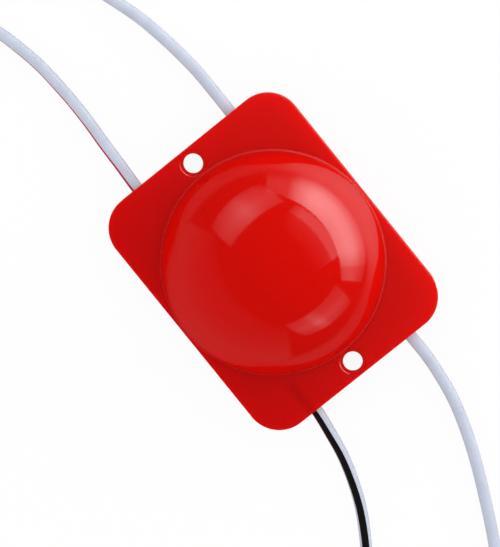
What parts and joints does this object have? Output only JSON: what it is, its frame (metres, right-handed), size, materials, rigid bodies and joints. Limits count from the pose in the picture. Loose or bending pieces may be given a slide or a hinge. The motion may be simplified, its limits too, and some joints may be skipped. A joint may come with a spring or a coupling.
{
  "type": "cob led module",
  "caption": "Light module with a glossy red dome over a chip-on-board emitter, a flat flange with screw holes, and white lead wires out of both short ends.",
  "frame": {"origin": "middle of the flat back face", "axes": "X along the long side of the flange, Y along its short side, Z out of the back through the top of the dome"},
  "size_m": [0.1496, 0.0562, 0.0222],
  "materials": {
    "red_plastic": "glossy translucent",
    "board": "fine satin",
    "board_face": "white, satin",
    "sealant": "matte",
    "dam": "satin",
    "dice": "polished",
    "gel": "clear gloss",
    "chip_body": "matte",
    "tinned": "bright",
    "resistor": "satin",
    "solder": "bright",
    "copper": "bright stranded",
    "insulation": "smooth satin"
  },
  "bodies": {
    "root": {"dome_cover": "red_plastic", "circuit_board": "board", "board_face": "board_face", "seal_bead": "sealant", "emitter_dam": "dam", "led_dice": "dice", "emitter_gel": "gel", "driver_chip": "chip_body", "driver_leads": "tinned", "resistor_left": "resistor", "resistor_right": "resistor", "resistor_ends": "tinned", "solder_left_plus": "solder", "solder_left_minus": "solder", "solder_right_minus": "solder", "solder_right_plus": "solder", "core_left_plus": "copper", "core_left_minus": "copper", "core_right_minus": "copper", "core_right_plus": "copper", "lead_left_plus": "insulation", "lead_left_minus": "insulation", "lead_right_minus": "insulation", "lead_right_plus": "insulation", "tip_left_plus": "copper", "tip_left_minus": "copper", "tip_right_minus": "copper", "tip_right_plus": "copper"}
  },
  "joints": []
}
